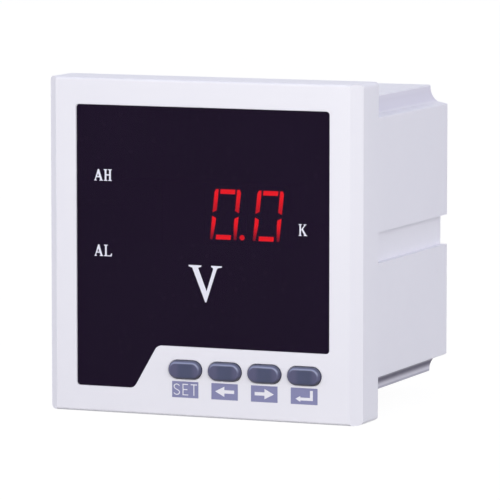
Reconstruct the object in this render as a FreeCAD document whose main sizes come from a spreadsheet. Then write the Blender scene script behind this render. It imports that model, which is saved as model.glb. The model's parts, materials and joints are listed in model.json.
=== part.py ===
# Panel voltmeter with a square white bezel, a dark display window, four keys and a deep case.
# X points to the right, Y to the rear and Z up, in millimetres. The origin is the centre of the
# panel cut-out, in the plane of the panel's front face, where the rear rim of the bezel rests.

import FreeCAD, Part
import math
import os

import Sketcher

SIZES = {
    # Front bezel
    "bezel_side": 96.0,
    "bezel_depth": 14.8,
    "bezel_wall": 2.6,
    "bezel_plate": 2.8,
    "bevel": 2.9,
    "bezel_corner": 1.2,
    "bezel_edge": 0.8,
    "cavity_corner": 1.0,
    "post_inset": 2.5,
    "post_radius": 1.9,
    "pin_radius": 0.8,
    "pin_clearance": 0.1,
    "snap_length": 12.0,
    "snap_depth": 0.8,
    "snap_height": 0.5,
    "snap_clearance": 0.1,
    # Display window, measured from the edges of the bezel
    "window_side_margin": 9.15,
    "window_top_margin": 7.7,
    "window_foot_margin": 7.45,
    "step_above_keys": 6.55,
    "slant_head": 13.75,
    "slant_foot": 21.0,
    "window_corner": 1.0,
    "slant_corner": 2.4,
    "window_recess": 0.6,
    "window_thickness": 1.8,
    "window_overlap": 1.3,
    "window_clearance": 0.15,
    "lip_round": 0.25,
    # Printed marks
    "print_thickness": 0.06,
    "unit_mark_height": 10.5,
    "unit_mark_left": 4.35,
    "unit_mark_drop": 15.0,
    "small_mark_height": 3.3,
    "alarm_mark_inset": 5.4,
    "high_mark_rise": 18.55,
    "low_mark_drop": 3.1,
    "kilo_mark_right": 29.4,
    "kilo_mark_rise": 5.1,
    "letter_gap": 0.25,
    # Keys and their legends
    "key_length": 10.1,
    "key_height": 5.25,
    "key_pitch": 12.13,
    "first_key_left": 5.0,
    "key_margin": 13.5,
    "key_rise": 1.3,
    "key_crown": 1.1,
    "key_clearance": 0.12,
    "key_rim": 0.6,
    "key_rim_thickness": 1.0,
    "key_stem_radius": 1.9,
    "key_stem_length": 1.87,
    "key_travel": 0.5,
    "legend_width": 8.1,
    "legend_height": 4.65,
    "legend_margin": 7.8,
    "arrow_length": 5.9,
    "arrow_head": 3.0,
    "arrow_head_length": 2.9,
    "arrow_shaft": 1.0,
    "return_length": 5.3,
    "return_stroke": 0.85,
    "return_riser": 0.9,
    "return_rise": 3.3,
    "return_head": 1.7,
    "return_head_length": 1.5,
    "set_height": 3.3,
    "set_gap": 0.75,
    # Key switches
    "switch_side": 6.0,
    "switch_height": 3.5,
    "plunger_radius": 1.75,
    "plunger_clearance": 0.08,
    "plunger_engagement": 1.0,
    "bore_spare": 0.4,
    # Display board and its lamps
    "display_gap": 0.3,
    "digit_count": 4,
    "digit_width": 12.6,
    "digit_body_height": 17.5,
    "digit_depth": 8.0,
    "digit_pitch": 13.1,
    "digit_row_left": 0.2,
    "digit_row_rise": 10.05,
    "figure_width": 8.0,
    "figure_height": 14.3,
    "figure_slant": 0.105,
    "bar_width": 1.3,
    "upright_width": 1.15,
    "bar_gap": 0.6,
    "middle_gap": 0.55,
    "bar_mitre": 0.55,
    "shoulder_cut": 0.8,
    "foot_width": 0.75,
    "foot_taper": 4.5,
    "bar_thickness": 0.15,
    "point_radius": 0.75,
    "point_offset": 5.05,
    "lamp_width": 4.6,
    "lamp_height": 2.0,
    "board_thickness": 1.6,
    "board_clearance": 0.3,
    # Case
    "case_side_inset": 3.25,
    "case_top_inset": 5.4,
    "case_length": 65.8,
    "case_wall": 2.0,
    "rear_wall": 2.2,
    "case_edge": 0.4,
    "cove_inset": 5.35,
    "cove_radius": 4.95,
    "cove_start": 0.6,
    "ledge_width": 3.05,
    "ledge_fall": 0.6,
    "cove_drop": 5.45,
    "channel_height": 8.8,
    "channel_depth": 2.06,
    "flange_thickness": 1.5,
    "flange_clearance": 0.15,
    "rail_depth": 1.6,
    "rail_height": 1.2,
    "rail_clearance": 0.1,
    "rail_start": 12.0,
    # Circuit boards in the case
    "board_inset": 20.6,
    "board_start": 7.0,
    "board_end_gap": 0.2,
    "socket_width": 31.0,
    "socket_height": 4.0,
    "socket_length": 9.0,
    "header_depth": 2.5,
    "header_count": 12,
    "header_pitch": 2.54,
    "pin_side": 0.64,
    "pin_length": 6.0,
    "slot_clearance": 0.1,
    # Terminal blocks
    "block_side_gap": 2.0,
    "terminal_pitch": 7.62,
    "block_depth": 12.0,
    "block_height": 14.0,
    "block_wall": 1.2,
    "block_floor": 1.75,
    "block_clearance": 0.2,
    "cell_depth": 5.5,
    "clamp_thickness": 0.8,
    "clamp_clearance": 0.3,
    "clamp_height": 8.0,
    "screw_head_radius": 2.4,
    "screw_head_height": 1.8,
    "screw_radius": 1.45,
    "screw_length": 4.5,
    "screw_clearance": 0.05,
    "screw_slot": 0.6,
    "screw_slot_depth": 0.9,
    # Power supply parts
    "core_width": 30.0,
    "core_depth": 14.0,
    "core_headroom": 6.4,
    "core_leg": 6.0,
    "winding_clearance": 0.1,
    "core_left": 17.0,
    "core_rear": 22.0,
    "reservoir_radius": 6.5,
    "reservoir_height": 20.0,
    "filter_radius": 4.0,
    "filter_height": 12.0,
    "capacitor_right": 12.0,
    "capacitor_rear": 17.0,
    "filter_right": 26.0,
    "bridge_width": 15.0,
    "bridge_depth": 6.0,
    "bridge_height": 11.0,
    "bridge_right": 10.0,
    "bridge_rear": 28.0,
    "regulator_width": 10.0,
    "regulator_depth": 4.5,
    "regulator_height": 15.0,
    "sink_width": 14.0,
    "sink_depth": 5.0,
    "sink_height": 20.0,
    "sink_wall": 1.5,
    "regulator_right": 25.0,
    "regulator_rear": 24.25,
    "relay_width": 15.0,
    "relay_depth": 19.0,
    "relay_height": 15.5,
    "relay_gap": 1.5,
    "relay_right": 8.0,
    "relay_rear": 42.5,
    "fuse_radius": 2.6,
    "fuse_length": 20.0,
    "fuse_left": 29.8,
    "fuse_rear": 42.5,
    "fuse_lift": 1.2,
    "clip_width": 7.2,
    "clip_length": 4.0,
    "clip_height": 5.0,
    "varistor_radius": 5.0,
    "varistor_thickness": 4.0,
    "varistor_left": 20.0,
    "varistor_rear": 46.0,
    # Measuring circuit parts
    "controller_side": 10.0,
    "chip_height": 1.6,
    "lead_reach": 1.0,
    "lead_height": 0.3,
    "controller_left": 16.0,
    "controller_rear": 24.0,
    "converter_width": 8.0,
    "converter_depth": 5.0,
    "converter_right": 4.0,
    "converter_rear": 26.0,
    "crystal_width": 11.0,
    "crystal_depth": 4.5,
    "crystal_height": 3.5,
    "crystal_rear": 34.0,
    "film_width": 13.0,
    "film_depth": 6.0,
    "film_height": 11.0,
    "film_right": 24.0,
    "film_rear": 24.0,
    "resistor_radius": 1.6,
    "resistor_length": 9.0,
    "resistor_count": 4,
    "resistor_pitch": 6.0,
    "resistor_right": 8.0,
    "resistor_rear": 32.0,
    "driver_width": 10.0,
    "driver_height": 7.0,
    "driver_rise": -4.5,
}

# Letter outlines in units of their height, from the foot of the letter's left edge
LETTERS = {
    "V": [
        [(0.02, 1.00), (0.02, 0.965), (0.125, 0.93), (0.505, 0.00), (0.537, 0.00), (0.84, 0.90),
         (0.87, 0.94), (0.99, 0.965), (0.99, 1.00), (0.68, 1.00), (0.68, 0.965), (0.73, 0.94),
         (0.735, 0.90), (0.545, 0.30), (0.295, 0.93), (0.39, 0.965), (0.39, 1.00)],
    ],
    "K": [
        [(0.00, 1.00), (0.00, 0.96), (0.09, 0.93), (0.09, 0.07), (0.00, 0.04), (0.00, 0.00),
         (0.31, 0.00), (0.31, 0.04), (0.22, 0.07), (0.22, 0.43), (0.29, 0.50), (0.53, 0.07),
         (0.48, 0.04), (0.48, 0.00), (0.80, 0.00), (0.80, 0.04), (0.72, 0.07), (0.40, 0.60),
         (0.64, 0.92), (0.73, 0.96), (0.73, 1.00), (0.46, 1.00), (0.46, 0.96), (0.54, 0.92),
         (0.22, 0.53), (0.22, 0.93), (0.31, 0.96), (0.31, 1.00)],
    ],
    "A": [
        [(0.00, 0.00), (0.00, 0.05), (0.07, 0.08), (0.36, 1.00), (0.47, 1.00), (0.77, 0.08),
         (0.84, 0.05), (0.84, 0.00), (0.50, 0.00), (0.50, 0.05), (0.58, 0.08), (0.52, 0.28),
         (0.22, 0.28), (0.165, 0.08), (0.25, 0.05), (0.25, 0.00)],
        [(0.28, 0.37), (0.465, 0.37), (0.375, 0.66)],
    ],
    "H": [
        [(0.00, 0.00), (0.00, 0.06), (0.09, 0.09), (0.09, 0.91), (0.00, 0.94), (0.00, 1.00),
         (0.34, 1.00), (0.34, 0.94), (0.25, 0.91), (0.25, 0.57), (0.51, 0.57), (0.51, 0.91),
         (0.42, 0.94), (0.42, 1.00), (0.76, 1.00), (0.76, 0.94), (0.67, 0.91), (0.67, 0.09),
         (0.76, 0.06), (0.76, 0.00), (0.42, 0.00), (0.42, 0.06), (0.51, 0.09), (0.51, 0.46),
         (0.25, 0.46), (0.25, 0.09), (0.34, 0.06), (0.34, 0.00)],
    ],
    "L": [
        [(0.00, 0.00), (0.00, 0.06), (0.10, 0.09), (0.10, 0.91), (0.00, 0.94), (0.00, 1.00),
         (0.36, 1.00), (0.36, 0.94), (0.26, 0.91), (0.26, 0.08), (0.58, 0.08), (0.70, 0.26),
         (0.76, 0.26), (0.72, 0.00)],
    ],
    "S": [
        [(0.00, 0.17), (0.11, 0.05), (0.31, 0.00), (0.50, 0.04), (0.61, 0.16), (0.62, 0.31),
         (0.53, 0.43), (0.17, 0.61), (0.11, 0.73), (0.17, 0.87), (0.31, 0.91), (0.45, 0.87),
         (0.52, 0.78), (0.60, 0.81), (0.51, 0.95), (0.31, 1.00), (0.12, 0.95), (0.02, 0.83),
         (0.02, 0.67), (0.11, 0.54), (0.47, 0.36), (0.53, 0.27), (0.47, 0.13), (0.31, 0.09),
         (0.15, 0.13), (0.08, 0.23)],
    ],
    "E": [
        [(0.00, 0.00), (0.54, 0.00), (0.54, 0.09), (0.10, 0.09), (0.10, 0.46), (0.47, 0.46),
         (0.47, 0.55), (0.10, 0.55), (0.10, 0.91), (0.53, 0.91), (0.53, 1.00), (0.00, 1.00)],
    ],
    "T": [
        [(0.25, 0.00), (0.35, 0.00), (0.35, 0.91), (0.60, 0.91), (0.60, 1.00), (0.00, 1.00),
         (0.00, 0.91), (0.25, 0.91)],
    ],
}

document = FreeCAD.newDocument("Voltmeter")
sheet = document.addObject("Spreadsheet::Sheet", "Sizes")
for row, (alias, amount) in enumerate(SIZES.items(), start=1):
    sheet.set(f"A{row}", alias)
    sheet.set(f"B{row}", str(amount))
    sheet.setAlias(f"B{row}", alias)
document.recompute()


class Size:
    """A length, together with the sheet expression that gives it."""

    def __init__(self, value, text):
        self.value = float(value)
        self.text = text

    @staticmethod
    def of(thing):
        if isinstance(thing, Size):
            return thing
        return Size(thing, str(thing))

    def __add__(self, other):
        other = Size.of(other)
        return Size(self.value + other.value, f"({self.text} + {other.text})")

    def __sub__(self, other):
        other = Size.of(other)
        return Size(self.value - other.value, f"({self.text} - {other.text})")

    def __mul__(self, other):
        other = Size.of(other)
        return Size(self.value * other.value, f"{self.text} * {other.text}")

    def __truediv__(self, other):
        other = Size.of(other)
        return Size(self.value / other.value, f"({self.text} / {other.text})")

    def __neg__(self):
        return Size(-self.value, f"(0 - {self.text})")

    def root(self):
        return Size(math.sqrt(self.value), f"sqrt({self.text})")


def size(alias):
    return Size(sheet.get(alias), f"Sizes.{alias}")


ZERO = Size(0, "0")


# Levels from front to rear that several pieces share

HALF = size("bezel_side") / 2
FRONT = -size("bezel_depth")
PLATE_REAR = FRONT + size("bezel_plate")
WINDOW_FRONT = FRONT + size("window_recess")
WINDOW_REAR = WINDOW_FRONT + size("window_thickness")
DIGIT_FACE = WINDOW_REAR + size("display_gap")
BOARD_FRONT = DIGIT_FACE + size("digit_depth")
BOARD_REAR = BOARD_FRONT + size("board_thickness")
FLANGE_REAR = BOARD_REAR + size("flange_thickness")
SNAP_FRONT = FLANGE_REAR + size("snap_clearance")
CAVITY = HALF - size("bezel_wall")
POST = CAVITY - size("post_inset")
CASE_REAR = size("case_length")
CASE_END = CASE_REAR - size("rear_wall")
CASE_SIDE = HALF - size("case_side_inset")
CASE_TOP = HALF - size("case_top_inset")
BOARD_LEVEL = CASE_TOP - size("board_inset")
KEY_LEVEL = size("key_margin") - HALF
WINDOW_HALF = HALF - size("window_side_margin")
WINDOW_TOP = HALF - size("window_top_margin")
WINDOW_FOOT = size("window_foot_margin") - HALF
WINDOW_STEP = KEY_LEVEL + size("step_above_keys")
KEY_NAMES = ("set_key", "left_key", "right_key", "enter_key")
SAME_LEVEL = 0.01
STRAIGHT = 0.001


def key_centre(number):
    return size("key_pitch") * number - size("first_key_left")


# Ways to draw and build that every piece shares


def bind(thing, **sizes):
    """Ties properties of an object to sizes."""
    for name, length in sizes.items():
        thing.setExpression(name, Size.of(length).text)


def place(thing, x, y, z):
    for axis, length in zip("xyz", (x, y, z)):
        thing.setExpression(f"Placement.Base.{axis}", Size.of(length).text)


def new_body(label):
    body = document.addObject("PartDesign::Body", label)
    body.Label = label
    body.AllowCompound = True
    return body


def new_sketch(body, role, offset):
    """A sketch on one of the body's own origin planes, moved along the plane's normal."""
    sketch = body.newObject("Sketcher::SketchObject", "Profile")
    plane = next(item for item in body.Origin.OriginFeatures if item.Role == role)
    sketch.AttachmentSupport = [(plane, "")]
    sketch.MapMode = "FlatFace"
    sketch.setExpression("AttachmentOffset.Base.z", offset.text)
    return sketch


def upright_sketch(body, y):
    """A sketch that faces the front, at a distance behind the origin."""
    return new_sketch(body, "XZ_Plane", -y)


def flat_sketch(body, z):
    """A sketch that faces up, at a height above the origin."""
    return new_sketch(body, "XY_Plane", z)


def pin_point(sketch, shape, end, point):
    """Holds a point of a sketch at its place from the origin."""
    for kind, length in zip(("DistanceX", "DistanceY"), point):
        held = Sketcher.Constraint(kind, -1, 1, shape, end, length.value)
        number = sketch.addConstraint(held)
        sketch.setExpression(f"Constraints[{number}]", length.text)


def hold_radius(sketch, shape, radius):
    number = sketch.addConstraint(Sketcher.Constraint("Radius", shape, radius.value))
    sketch.setExpression(f"Constraints[{number}]", radius.text)


def flat_vector(point):
    return FreeCAD.Vector(point[0].value, point[1].value, 0)


def draw_outline(sketch, points, hollows=None):
    """A closed outline through the points, counter-clockwise.

    The sides are straight, apart from those numbered in hollows: these are arcs that bend into
    the outline, each with its centre and radius.
    """
    hollows = hollows or {}
    count = len(points)
    first = sketch.GeometryCount
    entry = {}
    leave = {}
    for number, start in enumerate(points):
        finish = points[(number + 1) % count]
        if number in hollows:
            centre, radius = hollows[number]
            circle = Part.Circle(flat_vector(centre), FreeCAD.Vector(0, 0, 1), radius.value)
            turns = [
                math.atan2(point[1].value - centre[1].value, point[0].value - centre[0].value)
                for point in (finish, start)
            ]
            if turns[1] < turns[0]:
                turns[1] += 2 * math.pi
            sketch.addGeometry(Part.ArcOfCircle(circle, turns[0], turns[1]))
            entry[number], leave[number] = 2, 1
            hold_radius(sketch, first + number, radius)
        else:
            sketch.addGeometry(Part.LineSegment(flat_vector(start), flat_vector(finish)))
            entry[number], leave[number] = 1, 2
    for number, point in enumerate(points):
        before = (number - 1) % count
        joint = ("Coincident", first + before, leave[before], first + number, entry[number])
        sketch.addConstraint(Sketcher.Constraint(*joint))
        pin_point(sketch, first + number, entry[number], point)


def draw_rectangle(sketch, left, low, right, high):
    draw_outline(sketch, [(left, low), (right, low), (right, high), (left, high)])


def draw_centred(sketch, x, z, width, height):
    draw_rectangle(sketch, x - width / 2, z - height / 2, x + width / 2, z + height / 2)


def draw_circle(sketch, x, z, radius):
    shape = sketch.addGeometry(
        Part.Circle(flat_vector((x, z)), FreeCAD.Vector(0, 0, 1), radius.value)
    )
    pin_point(sketch, shape, 3, (x, z))
    hold_radius(sketch, shape, radius)


def draw_stadium(sketch, x, z, length, height):
    """A slot outline with half-round ends."""
    radius = height / 2
    reach = length / 2 - radius
    up = FreeCAD.Vector(0, radius.value, 0)
    axis = FreeCAD.Vector(0, 0, 1)
    right_centre = (x + reach, z)
    left_centre = (x - reach, z)
    quarter = math.pi / 2
    right_end = Part.ArcOfCircle(
        Part.Circle(flat_vector(right_centre), axis, radius.value), -quarter, quarter
    )
    left_end = Part.ArcOfCircle(
        Part.Circle(flat_vector(left_centre), axis, radius.value), quarter, 3 * quarter
    )
    top = Part.LineSegment(flat_vector(right_centre) + up, flat_vector(left_centre) + up)
    foot = Part.LineSegment(flat_vector(left_centre) - up, flat_vector(right_centre) - up)
    first = sketch.GeometryCount
    sketch.addGeometry([right_end, top, left_end, foot])
    for number in range(4):
        following = first + (number + 1) % 4
        joint = Sketcher.Constraint("Tangent", first + number, 2, following, 1)
        sketch.addConstraint(joint)
    pin_point(sketch, first, 3, right_centre)
    pin_point(sketch, first + 2, 3, left_centre)
    hold_radius(sketch, first, radius)


def pad(body, sketch, length, along_normal=False):
    """Adds material from a sketch: rearwards from an upright one, unless along its normal."""
    feature = body.newObject("PartDesign::Pad", "Pad")
    feature.Profile = sketch
    feature.Reversed = not along_normal
    bind(feature, Length=length)
    return feature


def pocket(body, sketch, length, along_normal=False):
    """Cuts material from a sketch: rearwards from an upright one, unless along its normal."""
    feature = body.newObject("PartDesign::Pocket", "Pocket")
    feature.Profile = sketch
    feature.Reversed = along_normal
    bind(feature, Length=length)
    return feature


def chosen_edges(feature, test):
    """The names of the edges that a test of middle point and direction picks."""
    names = []
    for number, edge in enumerate(feature.Shape.Edges, start=1):
        start, finish = edge.valueAt(edge.FirstParameter), edge.valueAt(edge.LastParameter)
        if test(edge.CenterOfMass, (finish - start)):
            names.append(f"Edge{number}")
    return names


def round_edges(body, base, radius, test):
    document.recompute()
    feature = body.newObject("PartDesign::Fillet", "Round")
    feature.Base = (base, chosen_edges(base, test))
    bind(feature, Radius=radius)
    return feature


def bevel_edges(body, base, width, test):
    document.recompute()
    feature = body.newObject("PartDesign::Chamfer", "Bevel")
    feature.Base = (base, chosen_edges(base, test))
    bind(feature, Size=width)
    return feature


def near(value, target):
    return abs(value - target.value) < SAME_LEVEL


def runs_along(direction, axis):
    """Whether a direction follows one axis only."""
    others = [abs(getattr(direction, name)) for name in "xyz" if name != axis]
    return max(others) < STRAIGHT < abs(getattr(direction, axis))


def corner_test(x, z):
    """Picks the edges from front to rear at one place and its mirror images."""

    def test(middle, way):
        return runs_along(way, "y") and near(abs(middle.x), x) and near(abs(middle.z), z)

    return test


def block(label, x, y, z, width, depth, height):
    """A plain box, centred on x and y, with its foot at z."""
    box = document.addObject("Part::Box", label)
    box.Label = label
    bind(box, Length=width, Width=depth, Height=height)
    place(box, x - width / 2, y - depth / 2, z)
    return box


def cylinder(label, x, y, z, radius, height):
    """An upright cylinder with its foot at z."""
    round_part = document.addObject("Part::Cylinder", label)
    round_part.Label = label
    bind(round_part, Radius=radius, Height=height)
    place(round_part, x, y, z)
    return round_part


def combine(kind, label, base, tool):
    """A cut or a fusion of two objects."""
    result = document.addObject(kind, label)
    result.Label = label
    result.Base = base
    result.Tool = tool
    return result


# Front bezel


def window_outline(gap):
    """The window's six corners, with the outline grown outwards by a gap."""
    run = size("slant_foot") - size("slant_head")
    rise = WINDOW_STEP - WINDOW_FOOT
    lead = gap * (((run * run + rise * rise).root() - run) / rise)
    left = -(WINDOW_HALF + gap)
    right = WINDOW_HALF + gap
    top = WINDOW_TOP + gap
    step = WINDOW_STEP - gap
    foot = WINDOW_FOOT - gap
    return [
        (left, foot),
        (lead - size("slant_foot"), foot),
        (lead - size("slant_head"), step),
        (right, step),
        (right, top),
        (left, top),
    ]


def round_window_corners(body, base, gap):
    """Rounds the corners of a window outline: the square ones and the two of the slant."""
    corners = window_outline(gap)

    def at_any(places):
        return lambda middle, way: runs_along(way, "y") and any(
            near(middle.x, x) and near(middle.z, z) for x, z in places
        )

    squares = [corners[0], corners[3], corners[4], corners[5]]
    rounded = round_edges(body, base, size("window_corner"), at_any(squares))
    return round_edges(body, rounded, size("slant_corner"), at_any(corners[1:3]))


def make_bezel():
    body = new_body("front_bezel")
    outline = upright_sketch(body, FRONT)
    draw_centred(outline, ZERO, ZERO, size("bezel_side"), size("bezel_side"))
    solid = pad(body, outline, size("bezel_depth"))
    solid = bevel_edges(
        body,
        solid,
        size("bevel"),
        lambda middle, way: runs_along(way, "z") and near(middle.y, FRONT),
    )
    solid = round_edges(
        body, solid, size("bezel_corner"), lambda middle, way: runs_along(way, "y")
    )
    solid = round_edges(
        body,
        solid,
        size("bezel_edge"),
        lambda middle, way: runs_along(way, "x") and near(middle.y, FRONT),
    )

    cavity = upright_sketch(body, PLATE_REAR)
    draw_centred(cavity, ZERO, ZERO, CAVITY * 2, CAVITY * 2)
    solid = pocket(body, cavity, -PLATE_REAR)
    solid = round_edges(
        body,
        solid,
        size("cavity_corner"),
        lambda middle, way: runs_along(way, "y") and near(abs(middle.x), CAVITY),
    )

    seat_gap = size("window_overlap") + size("window_clearance")
    seat = upright_sketch(body, WINDOW_FRONT)
    draw_outline(seat, window_outline(seat_gap))
    solid = pocket(body, seat, size("bezel_plate"))
    solid = round_window_corners(body, solid, seat_gap)
    opening = upright_sketch(body, FRONT)
    draw_outline(opening, window_outline(ZERO))
    solid = pocket(body, opening, size("bezel_plate"))
    solid = round_window_corners(body, solid, ZERO)

    holes = upright_sketch(body, FRONT)
    gap = size("key_clearance") * 2
    for number in range(len(KEY_NAMES)):
        x = key_centre(number)
        draw_stadium(holes, x, KEY_LEVEL, size("key_length") + gap, size("key_height") + gap)
    solid = pocket(body, holes, size("bezel_plate"))

    limit = (HALF - size("bevel") - size("lip_round")).value
    top_limit = (HALF - size("bezel_edge") - size("lip_round")).value
    solid = round_edges(
        body,
        solid,
        size("lip_round"),
        lambda middle, way: near(middle.y, FRONT)
        and abs(middle.x) < limit
        and abs(middle.z) < top_limit,
    )

    posts = upright_sketch(body, PLATE_REAR)
    pins = upright_sketch(body, PLATE_REAR)
    for x in (-POST, POST):
        for z in (-POST, POST):
            draw_circle(posts, x, z, size("post_radius"))
            draw_circle(pins, x, z, size("pin_radius"))
    pad(body, posts, BOARD_FRONT - PLATE_REAR)
    pad(body, pins, BOARD_REAR - size("pin_clearance") - PLATE_REAR)

    snaps = upright_sketch(body, SNAP_FRONT)
    inner = CAVITY - size("snap_height")
    outer = CAVITY + size("bezel_wall") / 2
    reach = size("snap_length") / 2
    draw_rectangle(snaps, inner, -reach, outer, reach)
    draw_rectangle(snaps, -outer, -reach, -inner, reach)
    draw_rectangle(snaps, -reach, inner, reach, outer)
    draw_rectangle(snaps, -reach, -outer, reach, -inner)
    pad(body, snaps, size("snap_depth"))
    return body


def make_window():
    body = new_body("display_window")
    panel = upright_sketch(body, WINDOW_FRONT)
    draw_outline(panel, window_outline(size("window_overlap")))
    solid = pad(body, panel, size("window_thickness"))
    round_window_corners(body, solid, size("window_overlap"))
    return body


# Printed marks


def letter_solid(letter, height, x, z, front):
    """One serif or plain letter as a thin plate, with its foot at z and its left edge at x."""
    wires = []
    for loop in LETTERS[letter]:
        corners = [FreeCAD.Vector(x + u * height, front, z + v * height) for u, v in loop]
        wires.append(Part.makePolygon(corners + corners[:1]))
    face = Part.Face(wires[0])
    for hole in wires[1:]:
        face = face.cut(Part.Face(hole))
    return face.extrude(FreeCAD.Vector(0, size("print_thickness").value, 0))


def letter_width(letter):
    return max(u for u, v in LETTERS[letter][0])


def word_solids(word, height, x, z, front):
    """Letters side by side."""
    solids = []
    for letter in word:
        solids.append(letter_solid(letter, height, x, z, front))
        x += letter_width(letter) * height + size("letter_gap").value
    return solids


def alarm_mark_left():
    return size("alarm_mark_inset") - WINDOW_HALF


def make_window_marks():
    """The volt sign, the kilo sign and the two alarm names, printed on the window."""
    front = (WINDOW_FRONT - size("print_thickness")).value
    small = size("small_mark_height").value
    words = [
        ("V", size("unit_mark_height").value, -size("unit_mark_left"), -size("unit_mark_drop")),
        ("K", small, size("kilo_mark_right"), size("kilo_mark_rise")),
        ("AH", small, alarm_mark_left(), size("high_mark_rise")),
        ("AL", small, alarm_mark_left(), -size("low_mark_drop")),
    ]
    solids = []
    for word, height, x, z in words:
        solids += word_solids(word, height, x.value, z.value, front)
    marks = document.addObject("Part::Feature", "window_marks")
    marks.Label = "window_marks"
    marks.Shape = Part.makeCompound(solids)
    return marks


def arrow_points(x, z, way):
    """A block arrow; way is 1 to point right and -1 to point left."""
    reach = size("arrow_length") / 2
    neck = reach - size("arrow_head_length")
    half_head = size("arrow_head") / 2
    half_shaft = size("arrow_shaft") / 2
    points = [
        (-reach, -half_shaft),
        (neck, -half_shaft),
        (neck, -half_head),
        (reach, ZERO),
        (neck, half_head),
        (neck, half_shaft),
        (-reach, half_shaft),
    ]
    if way < 0:
        points = [(-u, v) for u, v in reversed(points)]
    return [(x + u, z + v) for u, v in points]


def return_points(x, z):
    """The bent arrow of the enter key: down on the right, then along to a head on the left."""
    half_stroke = size("return_stroke") / 2
    half_head = size("return_head") / 2
    right = size("return_length") / 2
    top = size("return_rise") / 2
    inner = right - size("return_riser")
    shaft = half_head - top
    neck = size("return_head_length") - right
    points = [
        (-right, shaft),
        (neck, -top),
        (neck, shaft - half_stroke),
        (right, shaft - half_stroke),
        (right, top),
        (inner, top),
        (inner, shaft + half_stroke),
        (neck, shaft + half_stroke),
        (neck, shaft + half_head),
    ]
    return [(x + u, z + v) for u, v in points]


def make_legends():
    """Four printed fields below the keys; the signs are left open in them."""
    body = new_body("key_legends")
    level = size("legend_margin") - HALF
    fields = upright_sketch(body, FRONT - size("print_thickness"))
    for number in range(len(KEY_NAMES)):
        draw_centred(fields, key_centre(number), level, size("legend_width"), size("legend_height"))
    pad(body, fields, size("print_thickness"))
    signs = upright_sketch(body, FRONT - size("print_thickness"))
    height = size("set_height")
    gap = size("set_gap")
    word = "SET"
    length = gap * (len(word) - 1)
    for letter in word:
        length = length + height * letter_width(letter)
    left = key_centre(0) - length / 2
    for letter in word:
        corners = LETTERS[letter][0]
        foot = level - height / 2
        draw_outline(signs, [(left + height * u, foot + height * v) for u, v in corners])
        left = left + height * letter_width(letter) + gap
    draw_outline(signs, arrow_points(key_centre(1), level, -1))
    draw_outline(signs, arrow_points(key_centre(2), level, 1))
    draw_outline(signs, return_points(key_centre(3), level))
    pocket(body, signs, size("print_thickness"))
    return body


# Keys and their switches


def make_key(number, label):
    body = new_body(label)
    x = key_centre(number)
    key_front = FRONT - size("key_rise")
    cap = upright_sketch(body, key_front)
    draw_stadium(cap, x, KEY_LEVEL, size("key_length"), size("key_height"))
    solid = pad(body, cap, PLATE_REAR - key_front)
    round_edges(
        body, solid, size("key_crown"), lambda middle, way: near(middle.y, key_front)
    )
    rim = upright_sketch(body, PLATE_REAR)
    grow = size("key_rim") * 2
    draw_stadium(rim, x, KEY_LEVEL, size("key_length") + grow, size("key_height") + grow)
    pad(body, rim, size("key_rim_thickness"))
    stem = upright_sketch(body, PLATE_REAR)
    draw_circle(stem, x, KEY_LEVEL, size("key_stem_radius"))
    pad(body, stem, plunger_front() - PLATE_REAR)
    return body


def switch_front():
    return BOARD_FRONT - size("switch_height")


def plunger_front():
    """The tip of a switch's plunger, which the stem of the key touches."""
    return PLATE_REAR + size("key_rim_thickness") + size("key_stem_length")


def make_switch(number, key_label):
    name = key_label.replace("_key", "")
    x = key_centre(number)
    body = new_body(f"{name}_switch")
    base = upright_sketch(body, switch_front())
    draw_centred(base, x, KEY_LEVEL, size("switch_side"), size("switch_side"))
    pad(body, base, size("switch_height"))
    bore = upright_sketch(body, switch_front())
    draw_circle(bore, x, KEY_LEVEL, size("plunger_radius") + size("plunger_clearance"))
    pocket(body, bore, size("plunger_engagement") + size("key_travel") + size("bore_spare"))
    plunger = new_body(f"{name}_plunger")
    round_profile = upright_sketch(plunger, plunger_front())
    draw_circle(round_profile, x, KEY_LEVEL, size("plunger_radius"))
    pad(plunger, round_profile, switch_front() + size("plunger_engagement") - plunger_front())
    return [body, plunger]


# Display board


def digit_centre(number):
    middle = (size("digit_count") - 1) / 2
    return size("digit_pitch") * (Size.of(number) - middle) - size("digit_row_left")


def make_digits():
    """The blocks of the seven-segment display."""
    count = int(size("digit_count").value)
    digits = []
    for number in range(count):
        body = new_body(f"display_digit_{number + 1}")
        face = upright_sketch(body, DIGIT_FACE)
        level = size("digit_row_rise")
        draw_centred(
            face, digit_centre(number), level, size("digit_width"), size("digit_body_height")
        )
        pad(body, face, size("digit_depth"))
        digits.append(body)
    return digits


def slanted(x, points):
    """Points of a figure, leaning to the right, from its centre."""
    lean = size("figure_slant")
    level = size("digit_row_rise")
    return [(x + u + v * lean, level + v) for u, v in points]


def upright_bar(x, side, rising):
    """One of the four upright bars of a figure zero: side and rising are 1 or -1."""
    outer = size("figure_width") / 2
    inner = outer - size("upright_width")
    end = size("figure_height") / 2
    low = size("middle_gap")
    points = [(inner, low + size("bar_mitre")), (outer, low)]
    if rising > 0:
        cut = size("shoulder_cut")
        points += [(outer, end - cut), (outer - cut / 2, end), (inner, end)]
    else:
        foot = outer - size("foot_width")
        points += [(outer, end), (foot, end), (inner, end - size("foot_taper"))]
    points = [(u * side, v * rising) for u, v in points]
    if side * rising < 0:
        points.reverse()
    return slanted(x, points)


def level_bar(x, rising):
    """The top or the foot bar of a figure zero."""
    reach = size("figure_width") / 2 - size("upright_width") - size("bar_gap")
    top = size("figure_height") / 2
    low = top - size("bar_width")
    points = [(-reach, low), (reach, low), (reach, top), (-reach, top)]
    points = [(u, v * rising) for u, v in points]
    if rising < 0:
        points.reverse()
    return slanted(x, points)


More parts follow.
